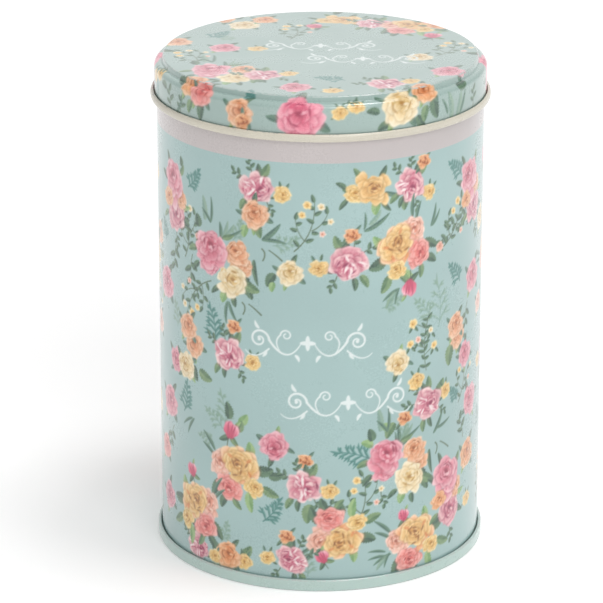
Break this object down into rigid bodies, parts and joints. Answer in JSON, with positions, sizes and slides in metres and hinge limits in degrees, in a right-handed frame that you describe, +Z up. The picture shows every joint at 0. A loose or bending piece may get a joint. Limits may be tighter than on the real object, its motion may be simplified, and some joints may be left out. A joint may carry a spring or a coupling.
{
  "type": "cookie tin",
  "caption": "Tall round cookie tin of printed tinplate, with a lift-off slip lid, a raised lid panel, a curled lid edge and a double-seamed base.",
  "frame": {"origin": "centre of the tin's foot, on the surface it stands on", "axes": "+Z up along the tin's axis, -Y towards the side the print faces, +Y towards the lock seam"},
  "size_m": [0.1138, 0.1138, 0.1714],
  "materials": {
    "wall_print": "satin",
    "base_print": "satin",
    "seam_lining": "matte",
    "lid_print": "satin"
  },
  "bodies": {
    "tin_body": {"body_wall": "wall_print", "base_end": "base_print", "seam_compound": "seam_lining"},
    "lid_body": {"lid": "lid_print"}
  },
  "joints": [
    {"name": "lid_lift", "type": "slide", "parent": "tin_body", "child": "lid_body", "axis": [0, 0, 1], "range_m": [0, 0.05]}
  ]
}
